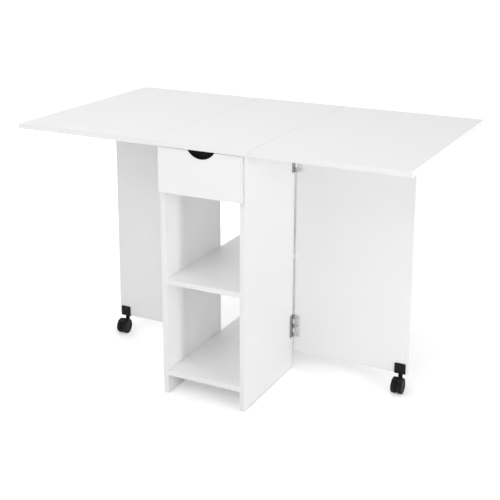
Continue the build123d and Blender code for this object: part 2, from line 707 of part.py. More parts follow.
with BuildPart() as drawer_bottom:
    with Locations((0, DRAWER_FRONT_Y - DRAWER_BOTTOM_TONGUE, DRAWER_FLOOR)):
        Box(
            DRAWER_CLEAR_WIDTH,
            DRAWER_BOX_DEPTH + DRAWER_BOTTOM_TONGUE,
            DRAWER_BOTTOM_THICKNESS,
            align=(Align.CENTER, Align.MIN, Align.MAX),
        )
    with Locations((0, DRAWER_FRONT_Y, DRAWER_FLOOR)):
        Box(
            DRAWER_CLEAR_WIDTH + 2 * DRAWER_BOTTOM_TONGUE,
            DRAWER_BOX_DEPTH,
            DRAWER_BOTTOM_THICKNESS,
            align=(Align.CENTER, Align.MIN, Align.MAX),
        )
keep(drawer_bottom, "drawer_bottom")

drawer_cams = cams(drawer_joints, DRAWER_CAM_RADIUS, DRAWER_CAM_DEPTH)
keep(drawer_cams, "drawer_cams")
drawer_cam_bolts = bolts(drawer_joints, DRAWER_CAM_RADIUS)
keep(drawer_cam_bolts, "drawer_cam_bolts")
drawer_back_screws = screws(
    drawer_back_heads["right"] + drawer_back_heads["left"], LONG_SCREW_LENGTH
)
keep(drawer_back_screws, "drawer_back_screws")

# Leaves and the hinge leaves under them
for name, hand in SIDES:
    with BuildPart() as table_leaf:
        inner_x = FIXED_TOP_LENGTH / 2 + SEAM
        low_x = inner_x if hand > 0 else -inner_x - LEAF_LENGTH
        board((low_x, -TABLE_DEPTH / 2, UNDERSIDE), (LEAF_LENGTH, TABLE_DEPTH, BOARD))
        with Locations(*leaf_hinge_heads[name]):
            Hole(SCREW_SHANK_RADIUS, depth=SCREW_LENGTH)
    keep(table_leaf, f"{name}_leaf")
    with BuildPart() as flap_hinge_leaves:
        for plane in leaf_hinge_planes[name]:
            hinge_leaf(
                plane,
                middle_spans,
                FLAP_HINGE_BARREL_RADIUS,
                FLAP_HINGE_LENGTH,
                FLAP_HINGE_WIDTH,
                FLAP_HINGE_BARREL_RADIUS,
                FLAP_HINGE_PIN_RADIUS,
                flap_heads(plane),
            )
    keep(flap_hinge_leaves, f"{name}_flap_hinge_leaves")
    keep(screws(leaf_hinge_heads[name]), f"{name}_flap_hinge_screws")

# Gates, swung out at rest
def bracket_heads(hand):
    """Planes of the four screw heads on the upright of a caster bracket."""
    reach = BRACKET_SCREW_PITCH / 2
    centre_z = BRACKET_FOOT + BRACKET_SIZE / 2 + BRACKET_THICKNESS / 2
    return [
        Plane(
            origin=(hand * STEM_X + across, GATE_FRONT_Y - BRACKET_THICKNESS, centre_z + up),
            z_dir=(0, -1, 0),
        )
        for across in (-reach, reach)
        for up in (-reach, reach)
    ]


for name, hand in SIDES:
    glide_places = [
        (hand * (GATE_PIN_X + distance), STEM_Y, UNDERSIDE - GATE_GLIDE_HEIGHT_PLAY)
        for distance in GATE_GLIDE_DISTANCES
    ]
    glide_height = UNDERSIDE - GATE_GLIDE_HEIGHT_PLAY - GATE_TOP
    with BuildPart() as gate:
        low_x = GATE_START_X if hand > 0 else -GATE_START_X - GATE_LENGTH
        board(
            (low_x, GATE_FRONT_Y, GATE_GROUND_GAP),
            (GATE_LENGTH, BOARD, GATE_TOP - GATE_GROUND_GAP),
        )
        with Locations(*gate_hinge_heads[name]):
            Hole(SCREW_SHANK_RADIUS, depth=SCREW_LENGTH)
        with Locations(*bracket_heads(hand)):
            Hole(SCREW_SHANK_RADIUS, depth=SCREW_LENGTH)
        cut_nails(glide_places, glide_height, True)
        with Locations((hand * STEM_X, STEM_Y, GATE_GROUND_GAP)):
            Cylinder(STEM_RADIUS, STEM_DEPTH, align=LOW, mode=Mode.SUBTRACT)
    keep(gate, f"{name}_gate")

    with BuildPart() as gate_hinge_leaves:
        for plane in gate_hinge_planes[name]:
            hinge_leaf(
                plane,
                gate_spans,
                GATE_HINGE_STAND,
                GATE_HINGE_LENGTH,
                GATE_HINGE_WIDTH,
                GATE_HINGE_BARREL_RADIUS,
                GATE_HINGE_PIN_RADIUS,
                gate_heads(plane, GATE_HINGE_STAND),
            )
    keep(gate_hinge_leaves, f"{name}_gate_hinge_leaves")
    keep(screws(gate_hinge_heads[name]), f"{name}_gate_hinge_screws")
    keep(glides(glide_places, glide_height, True), f"{name}_gate_glides")

    with BuildPart() as caster_bracket:
        with BuildSketch(Plane.YZ.offset(hand * STEM_X - BRACKET_SIZE / 2)):
            with Locations((GATE_FRONT_Y - BRACKET_THICKNESS, BRACKET_FOOT)):
                Rectangle(BOARD + BRACKET_THICKNESS, BRACKET_THICKNESS, align=(Align.MIN, Align.MIN))
                Rectangle(BRACKET_THICKNESS, BRACKET_SIZE, align=(Align.MIN, Align.MIN))
        extrude(amount=BRACKET_SIZE)
        corners = caster_bracket.edges().filter_by(Axis.Y).group_by(Axis.Z)[-1]
        fillet(corners, BRACKET_CORNER)
        bend = caster_bracket.edges().filter_by(Axis.X).group_by(Axis.Z)[0].sort_by(Axis.Y)[0]
        fillet(bend, BRACKET_THICKNESS)
        cut_screws(bracket_heads(hand))
        with Locations((hand * STEM_X, STEM_Y, BRACKET_FOOT)):
            Cylinder(STEM_RADIUS, BRACKET_THICKNESS, align=LOW, mode=Mode.SUBTRACT)
    keep(caster_bracket, f"{name}_caster_bracket")
    keep(screws(bracket_heads(hand)), f"{name}_bracket_screws")

# Casters: a stem fixed in the gate, a hood that turns on it and a wheel each side of its web
for name, hand in SIDES:
    turn = radians(CASTER_TURNS[name])
    across = Vector(cos(turn), sin(turn), 0)
    back = Vector(-sin(turn), cos(turn), 0)
    swivel = Vector(hand * STEM_X, STEM_Y, 0)
    hub = swivel - back * CASTER_TRAIL + Vector(0, 0, WHEEL_RADIUS)
    web_plane = Plane(origin=swivel, x_dir=back, z_dir=across)
    hub_plane = Plane(origin=hub, x_dir=back, z_dir=across)

    with BuildPart() as caster_stem:
        with Locations(Plane(origin=swivel)):
            with Locations((0, 0, HOOD_TOP + STEM_SHOULDER_GAP)):
                Cylinder(
                    STEM_RADIUS,
                    GATE_GROUND_GAP + STEM_DEPTH - HOOD_TOP - STEM_SHOULDER_GAP,
                    align=LOW,
                )
            with Locations((0, 0, SPIGOT_FOOT)):
                Cylinder(SPIGOT_RADIUS, HOOD_TOP + STEM_SHOULDER_GAP - SPIGOT_FOOT, align=LOW)
        with BuildSketch(Plane.XY.offset(BRACKET_FOOT)):
            with Locations((hand * STEM_X, STEM_Y)):
                RegularPolygon(STEM_NUT_RADIUS, 6)
        extrude(amount=-STEM_NUT_HEIGHT)
    keep(caster_stem, f"{name}_caster_stem")

    # The hood is a crowned shell over both wheels, on a web with a disc between them
    start = radians(HOOD_START)
    outward = back * cos(start) + Vector(0, 0, 1) * sin(start)
    with BuildPart() as caster_hood:
        with BuildSketch(Plane(origin=hub, x_dir=across, z_dir=across.cross(outward))) as section:
            with BuildLine():
                crown = ThreePointArc(
                    (-HOOD_HALF_WIDTH, WELL_RADIUS + HOOD_LIP),
                    (0, HOOD_RADIUS),
                    (HOOD_HALF_WIDTH, WELL_RADIUS + HOOD_LIP),
                )
                Line(crown @ 1, (HOOD_HALF_WIDTH, WELL_RADIUS))
                Line((HOOD_HALF_WIDTH, WELL_RADIUS), (-HOOD_HALF_WIDTH, WELL_RADIUS))
                Line((-HOOD_HALF_WIDTH, WELL_RADIUS), crown @ 0)
            make_face()
            fillet(section.vertices().group_by(Axis.Y)[-1], HOOD_EDGE)
        revolve(axis=Axis(hub, across), revolution_arc=HOOD_SPAN)
        with BuildSketch(Plane.XY.offset(SPIGOT_FOOT)):
            with Locations((hand * STEM_X, STEM_Y)):
                Circle(HOOD_NECK_RADIUS)
        extrude(amount=HOOD_TOP - SPIGOT_FOOT)
        with BuildSketch(hub_plane):
            Circle(WELL_RADIUS)
        extrude(amount=WHEEL_OUTER, both=True, mode=Mode.SUBTRACT)
        with BuildSketch(hub_plane):
            with BuildLine():
                rim = CenterArc((0, 0), WELL_RADIUS + HOOD_WALL / 2, HOOD_START, HOOD_SPAN)
                Line(rim @ 0, (0, 0))
                Line((0, 0), rim @ 1)
            make_face()
            Circle(HOOD_WEB_RADIUS)
            Circle(AXLE_RADIUS, mode=Mode.SUBTRACT)
        extrude(amount=HOOD_WEB / 2, both=True)
        with BuildSketch(Plane.XY.offset(HOOD_TOP)):
            with Locations((hand * STEM_X, STEM_Y)):
                Circle(SPIGOT_RADIUS + PIN_CLEARANCE)
        extrude(amount=SPIGOT_FOOT - PIN_CLEARANCE - HOOD_TOP, mode=Mode.SUBTRACT)
    keep(caster_hood, f"{name}_caster_hood")

    half_axle = WHEEL_OUTER - WHEEL_FACE / 2 - AXLE_END_GAP
    with BuildPart() as caster_axle:
        with BuildSketch(hub_plane):
            Circle(AXLE_RADIUS)
        extrude(amount=half_axle, both=True)
    keep(caster_axle, f"{name}_caster_axle")

    for wheel_name, way in (("right_wheel", 1), ("left_wheel", -1)):
        wheel_plane = Plane(origin=hub, x_dir=across * way, z_dir=back * -way)
        bore = AXLE_RADIUS + PIN_CLEARANCE
        face = WHEEL_OUTER - WHEEL_FACE
        dish = WHEEL_OUTER - DISH_DEPTH
        with BuildPart() as wheel:
            with BuildSketch(wheel_plane) as profile:
                with BuildLine():
                    Polyline(
                        (WHEEL_INNER, WHEEL_RADIUS - WHEEL_RIM),
                        (WHEEL_INNER, WHEEL_RADIUS),
                        (WHEEL_OUTER, WHEEL_RADIUS),
                        (WHEEL_OUTER, DISH_RADIUS),
                        (dish, DISH_RADIUS - DISH_SLOPE),
                        (dish, HUB_CAP_RADIUS),
                        (dish + HUB_CAP_RISE, HUB_CAP_RADIUS - DISH_SLOPE),
                        (dish + HUB_CAP_RISE, 0),
                        (WHEEL_OUTER - WHEEL_FACE / 2, 0),
                        (WHEEL_OUTER - WHEEL_FACE / 2, bore),
                        (WHEEL_INNER, bore),
                        (WHEEL_INNER, WHEEL_HUB_RADIUS),
                        (face, WHEEL_HUB_RADIUS),
                        (face, WHEEL_RADIUS - WHEEL_RIM),
                        close=True,
                    )
                make_face()
                tread = profile.vertices().group_by(Axis.Y)[-1].sort_by(Axis.X)
                fillet(tread[-1], WHEEL_SHOULDER)
                fillet(tread[0], WHEEL_INNER_SHOULDER)
            revolve(axis=Axis(origin=hub, direction=across))
        keep(wheel, f"{name}_caster_{wheel_name}")
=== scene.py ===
import math
import bmesh
import bpy
import numpy as np
from mathutils import Matrix, Vector


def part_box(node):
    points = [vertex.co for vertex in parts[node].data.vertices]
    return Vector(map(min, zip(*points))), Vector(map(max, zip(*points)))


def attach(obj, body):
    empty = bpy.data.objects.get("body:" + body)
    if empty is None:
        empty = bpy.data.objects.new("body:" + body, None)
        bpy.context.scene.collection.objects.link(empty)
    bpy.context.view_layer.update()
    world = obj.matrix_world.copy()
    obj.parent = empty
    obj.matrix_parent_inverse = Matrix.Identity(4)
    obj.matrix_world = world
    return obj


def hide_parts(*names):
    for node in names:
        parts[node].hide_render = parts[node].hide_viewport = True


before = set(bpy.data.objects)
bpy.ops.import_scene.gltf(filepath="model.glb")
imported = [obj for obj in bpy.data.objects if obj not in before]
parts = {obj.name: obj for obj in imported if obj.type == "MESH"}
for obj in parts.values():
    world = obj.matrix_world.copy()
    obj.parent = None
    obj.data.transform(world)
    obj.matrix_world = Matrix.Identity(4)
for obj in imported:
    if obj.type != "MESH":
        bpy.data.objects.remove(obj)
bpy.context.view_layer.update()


# Camera: a long lens to the right of the front and a little above the top, at the photograph's
# angle. The small shift keeps the uprights nearly parallel.
camera_place = Vector((1.2695, -2.5593, 1.3580))
camera_yaw = math.radians(26.616)
camera_pitch = math.radians(-15.066)
camera_roll = math.radians(0.209)
lens = bpy.data.cameras.new("camera")
lens.sensor_width = 36.0
lens.lens = 72.55
lens.shift_y = -0.15
lens.clip_end = 200.0
camera = bpy.data.objects.new("camera", lens)
bpy.context.scene.collection.objects.link(camera)
camera_turn = (
    Matrix.Rotation(camera_yaw, 4, "Z")
    @ Matrix.Rotation(math.pi / 2 + camera_pitch, 4, "X")
    @ Matrix.Rotation(camera_roll, 4, "Z")
)
camera.matrix_world = Matrix.Translation(camera_place) @ camera_turn
bpy.context.scene.camera = camera
bpy.context.scene.view_settings.view_transform = "Standard"


# Floor: white studio paper that runs out of sight, lifted more where the lamps don't reach. It
# shows white where nothing shades it and keeps the shadows that lie close under the table, and
# from below it lets the view through.


def lay(tree, kind, *sockets, **settings):
    """Add a node to a tree. Its inputs are given in order, each as a value, another node's
    output, or None."""
    made = tree.nodes.new(kind)
    for setting, value in settings.items():
        setattr(made, setting, value)
    for place, given in zip(made.inputs, sockets):
        if isinstance(given, bpy.types.NodeSocket):
            tree.links.new(given, place)
        elif given is not None:
            place.default_value = given
    return made


def seen_as_backdrop(tree):
    """One for a ray from the camera, a reflection or glass, and nought for one that carries
    light."""
    path = lay(tree, "ShaderNodeLightPath")
    mirrored = lay(
        tree,
        "ShaderNodeMath",
        path.outputs["Is Glossy Ray"],
        path.outputs["Is Transmission Ray"],
        operation="MAXIMUM",
    )
    seen = lay(
        tree,
        "ShaderNodeMath",
        path.outputs["Is Camera Ray"],
        mirrored.outputs[0],
        operation="MAXIMUM",
    )
    return seen.outputs[0]


floor_paper = (0.92, 0.92, 0.92, 1.0)
near_lift = 0.30
far_lift = 0.85
near_reach = 0.5
far_reach = 2.5
floor_reach = 60.0
corners = floor_reach * np.array([(-1, -1, 0), (1, -1, 0), (1, 1, 0), (-1, 1, 0)], float)
floor_mesh = bpy.data.meshes.new("studio_floor")
floor_mesh.from_pydata(corners.tolist(), [], [(0, 1, 2, 3)])
studio_floor = bpy.data.objects.new("studio_floor", floor_mesh)
bpy.context.scene.collection.objects.link(studio_floor)
paper = bpy.data.materials.new("floor_paper")
paper.use_nodes = True
tree = paper.node_tree
tree.nodes.remove(tree.nodes["Principled BSDF"])
matt = lay(tree, "ShaderNodeBsdfDiffuse", floor_paper)
here = lay(tree, "ShaderNodeTexCoord").outputs["Object"]
away = lay(tree, "ShaderNodeVectorMath", here, operation="LENGTH")
lift = lay(
    tree,
    "ShaderNodeMapRange",
    away.outputs["Value"],
    near_reach,
    far_reach,
    near_lift,
    far_lift,
    interpolation_type="SMOOTHSTEP",
)
lift = lay(tree, "ShaderNodeMath", seen_as_backdrop(tree), lift.outputs[0], operation="MULTIPLY")
glow = lay(tree, "ShaderNodeEmission", (1.0, 1.0, 1.0, 1.0), lift.outputs[0])
lifted = lay(tree, "ShaderNodeAddShader", matt.outputs[0], glow.outputs[0])
clear = lay(tree, "ShaderNodeBsdfTransparent")
under = lay(tree, "ShaderNodeNewGeometry")
both = lay(
    tree, "ShaderNodeMixShader", under.outputs["Backfacing"], lifted.outputs[0], clear.outputs[0]
)
tree.links.new(both.outputs[0], tree.nodes["Material Output"].inputs["Surface"])
floor_mesh.materials.append(paper)


# Light: an even white room and seven large soft lamps. A tall strip at the right reaches a little
# way into the open shelves, two banks in front fill the fronts, three at the left and behind light
# the shelves through the open rear of the cabinet, and one hangs over the top.
room_light = 0.37
world = bpy.data.worlds.new("white_room")
bpy.context.scene.world = world
world.use_nodes = True
tree = world.node_tree
room = tree.nodes["Background"]
room.inputs["Color"].default_value = (1.0, 1.0, 1.0, 1.0)
strength = lay(tree, "ShaderNodeMapRange", seen_as_backdrop(tree), 0.0, 1.0, room_light, 1.0)
tree.links.new(strength.outputs[0], room.inputs["Strength"])

soft_lamps = {
    "side_strip": ((3.0, -1.30, 0.75), (0.0, -0.25, 0.42), 0.5, 1.3, 30.0),
    "front_high": ((0.3, -2.3, 2.7), (0.0, -0.2, 0.45), 2.0, 1.5, 20.0),
    "front_left": ((-1.5, -2.8, 1.8), (0.0, -0.2, 0.4), 1.8, 1.2, 18.0),
    "left_high": ((-3.0, 1.6, 1.9), (0.0, 0.1, 0.35), 1.6, 1.2, 20.0),
    "rear_left": ((-2.4, 2.6, 0.9), (0.0, 0.1, 0.4), 1.8, 1.5, 35.0),
    "rear_right": ((2.4, 2.8, 0.9), (0.0, 0.1, 0.4), 1.8, 1.5, 24.0),
    "over_top": ((0.2, -0.4, 3.6), (0.1, 0.0, 0.75), 2.4, 2.4, 27.0),
}
for lamp_name, (place, aim, width, height, power) in soft_lamps.items():
    lamp = bpy.data.lights.new(lamp_name, "AREA")
    lamp.shape = "RECTANGLE"
    lamp.size = width
    lamp.size_y = height
    lamp.energy = power
    lamp_object = bpy.data.objects.new(lamp_name, lamp)
    bpy.context.scene.collection.objects.link(lamp_object)
    lamp_object.location = place
    lamp_object.rotation_euler = (Vector(aim) - Vector(place)).to_track_quat("-Z", "Y").to_euler()
    lamp_object.visible_glossy = False


# Table top: a fixed board between two leaves, of white melamine on particle board. The sheet is
# pressed between textured plates, which leave a faint orange peel, and its white changes by a hair
# from patch to patch. A plastic band is glued round the narrow faces with a hairline of glue.


def new_group(name, ins, outs):
    """An empty shader node group, with its named inputs and outputs."""
    group = bpy.data.node_groups.new(name, "ShaderNodeTree")
    for label, kind, value in ins:
        socket = group.interface.new_socket(label, in_out="INPUT", socket_type=kind)
        socket.default_value = value
    for label, kind in outs:
        group.interface.new_socket(label, in_out="OUTPUT", socket_type=kind)
    return group, group.nodes.new("NodeGroupInput"), group.nodes.new("NodeGroupOutput")


def use_group(tree, group, **values):
    """Place a node group in a material; underscores in a name stand for spaces."""
    made = tree.nodes.new("ShaderNodeGroup")
    made.node_tree = group
    for name, value in values.items():
        made.inputs[name.replace("_", " ")].default_value = value
    return made


def start_material(name, colour, roughness, metallic=0.0, gloss=0.5):
    """A Principled material with its plain values set on the shader's own sockets."""
    made = bpy.data.materials.new(name)
    made.use_nodes = True
    shader = made.node_tree.nodes["Principled BSDF"]
    shader.inputs["Base Color"].default_value = (*colour, 1.0)
    shader.inputs["Roughness"].default_value = roughness
    shader.inputs["Metallic"].default_value = metallic
    shader.inputs["Specular IOR Level"].default_value = gloss
    return made, made.node_tree, shader


def dress(material, *names):
    """Give CAD pieces a finish through their own material slots."""
    for name in names:
        for slot in parts[name].material_slots:
            slot.material = material


face_white = (0.905, 0.905, 0.905, 1.0)
# The band's white is a little darker than the face's: partly the band's own tone, partly painted
# shade on the narrow faces.
band_white_with_painted_shade = (0.87, 0.87, 0.87, 1.0)
glue_grey = (0.80, 0.80, 0.79, 1.0)
face_roughness = 0.42
roughness_spread = 0.04
face_gloss = 0.25
face_tones = (0.988, 1.008)
band_smoother = -0.10
peel_size = 0.0011
patch_size = 0.22
peel_height = 0.00006
peel_strength = 0.10
glue_groove = -0.6
band_thickness = 0.0010
glue_line = 0.00014
patch_range = (0.3, 0.7)
grain_detail = 2.0
grain_roughness = 0.55
patch_detail = 3.0
patch_roughness = 0.5
out_of_reach = 1.0

grain, grain_in, grain_out = new_group(
    "pressed_grain",
    [
        ("Grain Size", "NodeSocketFloat", 0.001),
        ("Patch Size", "NodeSocketFloat", 0.15),
    ],
    [("Height", "NodeSocketFloat"), ("Patch", "NodeSocketFloat")],
)
here = lay(grain, "ShaderNodeTexCoord").outputs["Object"]
grain_rate = lay(grain, "ShaderNodeMath", 1.0, grain_in.outputs["Grain Size"], operation="DIVIDE")
patch_rate = lay(grain, "ShaderNodeMath", 1.0, grain_in.outputs["Patch Size"], operation="DIVIDE")
skin = lay(
    grain,
    "ShaderNodeTexNoise",
    here,
    None,
    grain_rate.outputs[0],
    grain_detail,
    grain_roughness,
)
patch = lay(
    grain,
    "ShaderNodeTexNoise",
    here,
    None,
    patch_rate.outputs[0],
    patch_detail,
    patch_roughness,
)
grain.links.new(skin.outputs[0], grain_out.inputs["Height"])
grain.links.new(patch.outputs[0], grain_out.inputs["Patch"])

band, band_in, band_out = new_group(
    "edge_band",
    [
        ("Low Corner", "NodeSocketVector", (0.0, 0.0, 0.0)),
        ("High Corner", "NodeSocketVector", (1.0, 1.0, 1.0)),
    ],
    [("Band", "NodeSocketFloat"), ("Glue Line", "NodeSocketFloat")],
)
here = lay(band, "ShaderNodeTexCoord").outputs["Object"]
from_low = lay(
    band, "ShaderNodeVectorMath", here, band_in.outputs["Low Corner"], operation="SUBTRACT"
)
from_high = lay(
    band, "ShaderNodeVectorMath", band_in.outputs["High Corner"], here, operation="SUBTRACT"
)
nearer = lay(
    band, "ShaderNodeVectorMath", from_low.outputs[0], from_high.outputs[0], operation="MINIMUM"
)
axes = lay(band, "ShaderNodeSeparateXYZ", nearer.outputs[0])
nearest = lay(band, "ShaderNodeMath", axes.outputs[0], axes.outputs[1], operation="MINIMUM")
nearest = lay(band, "ShaderNodeMath", nearest.outputs[0], axes.outputs[2], operation="MINIMUM")
on_band = lay(
    band,
    "ShaderNodeMapRange",
    nearest.outputs[0],
    band_thickness - glue_line / 2,
    band_thickness + glue_line / 2,
    1.0,
    0.0,
)
from_glue = lay(band, "ShaderNodeMath", nearest.outputs[0], band_thickness, operation="SUBTRACT")
from_glue = lay(band, "ShaderNodeMath", from_glue.outputs[0], operation="ABSOLUTE")
on_glue = lay(band, "ShaderNodeMapRange", from_glue.outputs[0], 0.0, glue_line, 1.0, 0.0)
band.links.new(on_band.outputs[0], band_out.inputs["Band"])
band.links.new(on_glue.outputs[0], band_out.inputs["Glue Line"])


def faced_board(name):
    """Melamine for one board. Its thin axis, the shortest side of its box, is left out when the
    nearest narrow face is sought, so the band lies only on the narrow faces."""
    low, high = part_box(name)
    sides = list(high - low)
    thin = sides.index(min(sides))
    low[thin] -= out_of_reach
    high[thin] += out_of_reach
    made, tree, shader = start_material(
        f"{name}_melamine", face_white[:3], face_roughness, gloss=face_gloss
    )
    peel = use_group(tree, grain, Grain_Size=peel_size, Patch_Size=patch_size)
    edge = use_group(tree, band, Low_Corner=low, High_Corner=high)
    patch = peel.outputs["Patch"]
    tone = lay(tree, "ShaderNodeMapRange", patch, *patch_range, *face_tones)
    # The band's colour carries painted shade on the narrow faces as well as the band's own tone.
    with_band = lay(tree, "ShaderNodeMixRGB", edge.outputs["Band"], face_white, band_white_with_painted_shade)
    with_glue = lay(
        tree, "ShaderNodeMixRGB", edge.outputs["Glue Line"], with_band.outputs[0], glue_grey
    )
    white = lay(
        tree, "ShaderNodeVectorMath", with_glue.outputs[0], tone.outputs[0], operation="MULTIPLY"
    )
    tree.links.new(white.outputs[0], shader.inputs["Base Color"])
    rough = lay(
        tree,
        "ShaderNodeMapRange",
        patch,
        *patch_range,
        face_roughness - roughness_spread,
        face_roughness + roughness_spread,
    )
    smoother = lay(
        tree,
        "ShaderNodeMath",
        edge.outputs["Band"],
        band_smoother,
        rough.outputs[0],
        operation="MULTIPLY_ADD",
    )
    tree.links.new(smoother.outputs[0], shader.inputs["Roughness"])
    depth = lay(
        tree,
        "ShaderNodeMath",
        edge.outputs["Glue Line"],
        glue_groove,
        peel.outputs["Height"],
        operation="MULTIPLY_ADD",
    )
    bump = lay(tree, "ShaderNodeBump", peel_strength, peel_height, None, depth.outputs[0])
    tree.links.new(bump.outputs[0], shader.inputs["Normal"])
    return made


for board in ("fixed_top", "right_leaf", "left_leaf"):
    dress(faced_board(board), board)


# Cabinet: two side panels, a rear panel, two shelves and a stretcher, cut and banded from the
# same white sheet and drawn together by cam fittings. The open rear halves of its sides show the
# shelves' long edges, which carry the band too.
for board in (
    "right_side_panel",
    "left_side_panel",
    "rear_panel",
    "middle_shelf",
    "bottom_shelf",
    "top_stretcher",
):
    dress(faced_board(board), board)


# Cam fittings: zinc cams die-cast with a slot for the screwdriver, and the plated steel bolts
# that they grip. They sit in bores in the stretcher, the shelves and the drawer's sides.
skin_roughness_spread = 0.06
skin_strength = 0.3


def pressed_finish(
    name, colour, roughness, grain_size, patch_size, height, metallic=0.0, gloss=0.5, spread=0.1
):
    """A finish whose tone and gloss change a little from patch to patch, under a fine skin."""
    made, tree, shader = start_material(name, colour, roughness, metallic, gloss)
    skin = use_group(tree, grain, Grain_Size=grain_size, Patch_Size=patch_size)
    patch = skin.outputs["Patch"]
    tone = lay(tree, "ShaderNodeMapRange", patch, *patch_range, 1 - spread, 1 + spread)
    shade = lay(tree, "ShaderNodeVectorMath", colour, tone.outputs[0], operation="MULTIPLY")
    tree.links.new(shade.outputs[0], shader.inputs["Base Color"])
    rough = lay(
        tree,
        "ShaderNodeMapRange",
        patch,
        *patch_range,
        roughness - skin_roughness_spread,
        roughness + skin_roughness_spread,
    )
    tree.links.new(rough.outputs[0], shader.inputs["Roughness"])
    bump = lay(tree, "ShaderNodeBump", skin_strength, height, None, skin.outputs["Height"])
    tree.links.new(bump.outputs[0], shader.inputs["Normal"])
    return made


cast_zinc = pressed_finish(
    "cast_zinc",
    (0.50, 0.51, 0.52),
    roughness=0.45,
    grain_size=0.0007,
    patch_size=0.01,
    height=0.00006,
    metallic=1.0,
)
dress(cast_zinc, "cam_locks", "cam_bolts", "drawer_cams", "drawer_cam_bolts")


# Drawer: a front of the same white board, a low box of thinner faced board behind it, and a
# bottom of white-lacquered hardboard that slides into grooves.
for board in ("drawer_front", "drawer_right_side", "drawer_left_side", "drawer_back"):
    dress(faced_board(board), board)
lacquer = pressed_finish(
    "white_hardboard",
    (0.78, 0.78, 0.77),
    roughness=0.5,
    grain_size=0.0012,
    patch_size=0.1,
    height=0.0001,
    spread=0.02,
)
dress(lacquer, "drawer_bottom")


# Runners: white plastic strips screwed to the side panels, which the grooved drawer sides slide
# on. They have the fine satin skin of a sparked mould.
nylon = pressed_finish(
    "white_nylon",
    (0.74, 0.74, 0.73),
    roughness=0.45,
    grain_size=0.0008,
    patch_size=0.02,
    height=0.00005,
    spread=0.03,
)
dress(nylon, "right_runner", "left_runner")


# Finger pull: a half-moon cup moulded in black plastic and pressed into the upper edge of the
# drawer front. Its rim is rounded and stands a hair proud, and its hollow runs round into the back.
same_point = 1e-9
weld_reach = 1e-6
sharp_angle = math.radians(40.0)


def eased(corners, reaches, steps=6):
    """Round the corners of a line. The corner C becomes the curve (1-t)^2 A + 2t(1-t) C + t^2 B,
    for t from 0 to 1, where A and B lie at the given reach from C on its two sides."""
    corners = np.array(corners, float)
    reaches = np.broadcast_to(np.array(reaches, float), len(corners))[:, None]
    behind = np.roll(corners, 1, axis=0) - corners
    ahead = np.roll(corners, -1, axis=0) - corners
    first = corners + reaches * behind / np.linalg.norm(behind, axis=1, keepdims=True)
    last = corners + reaches * ahead / np.linalg.norm(ahead, axis=1, keepdims=True)
    t = np.linspace(0.0, 1.0, steps)[:, None]
    curve = (1 - t) ** 2 * first[:, None] + 2 * t * (1 - t) * corners[:, None]
    curve = curve + t**2 * last[:, None]
    line = curve.reshape(-1, corners.shape[1])
    moved = np.linalg.norm(np.diff(line, axis=0), axis=1) > same_point
    return line[np.concatenate([[True], moved])]


def ringed_piece(name, shells, body, slot, material, *nodes):
    """One piece from closed shells, in place of CAD nodes. Each shell is a stack of rings of
    points: neighbouring rings are joined in fours and the end rings are filled. A ring drawn in
    to a point is merged there, and the faces are turned outwards."""
    corners = np.concatenate([rings.reshape(-1, 3) for rings in shells])
    faces = []
    first = 0
    for rings in shells:
        rows, columns = rings.shape[:2]
        here = first + np.arange(rows * columns).reshape(rows, columns)
        after = np.roll(here, -1, axis=1)
        fours = np.stack([here[:-1], after[:-1], after[1:], here[1:]], axis=-1)
        faces += fours.reshape(-1, 4).tolist() + [here[0, ::-1].tolist(), here[-1].tolist()]
        first += rows * columns
    mesh = bpy.data.meshes.new(name)
    mesh.from_pydata(corners.tolist(), [], faces)
    shell = bmesh.new()
    shell.from_mesh(mesh)
    bmesh.ops.remove_doubles(shell, verts=shell.verts, dist=weld_reach)
    bmesh.ops.recalc_face_normals(shell, faces=shell.faces)
    shell.to_mesh(mesh)
    shell.free()
    mesh.shade_smooth()
    mesh.set_sharp_from_angle(angle=sharp_angle)
    mesh.materials.append(material)
    piece = bpy.data.objects.new(name, mesh)
    bpy.context.scene.collection.objects.link(piece)
    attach(piece, body)
    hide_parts(*nodes)


pull_wall = 0.002
pull_lip = 0.0003
pull_back = 0.002
pull_sweep = 0.0045
pull_low, pull_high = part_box("finger_pull")
pull_depth = pull_high.z - pull_low.z
pull_chord = pull_high.x - pull_low.x
pull_radius = (pull_chord**2 / 4 + pull_depth**2) / (2 * pull_depth)
pull_middle = (pull_low.x + pull_high.x) / 2
pull_thick = pull_high.y - pull_low.y


def half_moon(columns=72, bend_steps=9):
    """Points of the cup, as sections of its wall from one end of the chord to the other. Round the
    moon they lie on circles about one centre, each cut off by the chord. Across the wall the
    radius follows the rim, the hollow and the back, and shrink draws the back in to the middle of
    the chord, outside and inside."""
    inner = pull_radius - pull_wall
    floor_y = pull_thick - pull_back
    rim = np.linspace(0.0, math.pi, bend_steps)
    bend = np.linspace(0.0, math.pi / 2, bend_steps)
    radius = np.concatenate([
        [pull_radius, pull_radius],
        pull_radius - pull_wall / 2 * (1 - np.cos(rim)),
        inner - pull_sweep * (1 - np.cos(bend)),
        [inner - pull_sweep],
    ])
    depth = np.concatenate([
        [pull_thick, pull_thick],
        pull_wall / 2 - (pull_wall / 2 + pull_lip) * np.sin(rim),
        floor_y - pull_sweep * (1 - np.sin(bend)),
        [floor_y],
    ])
    shrink = np.ones(len(radius))
    shrink[[0, -1]] = 0.0
    centre_z = pull_low.z + pull_radius
    half_turn = np.arccos((centre_z - pull_high.z) / radius)
    turn = np.linspace(-1.0, 1.0, columns)[:, None] * half_turn
    x = pull_middle + shrink * radius * np.sin(turn)
    z = pull_high.z + shrink * (centre_z - radius * np.cos(turn) - pull_high.z)
    y = np.broadcast_to(pull_low.y + depth, x.shape)
    return np.stack([x, y, z], axis=-1)


moulding = pressed_finish(
    "black_moulding",
    (0.010, 0.010, 0.0105),
    roughness=0.5,
    grain_size=0.0006,
    patch_size=0.02,
    height=0.00005,
    gloss=0.09,
    spread=0.2,
)
ringed_piece("finger_cup", [half_moon()], "drawer", "black_moulding", moulding, "finger_pull")


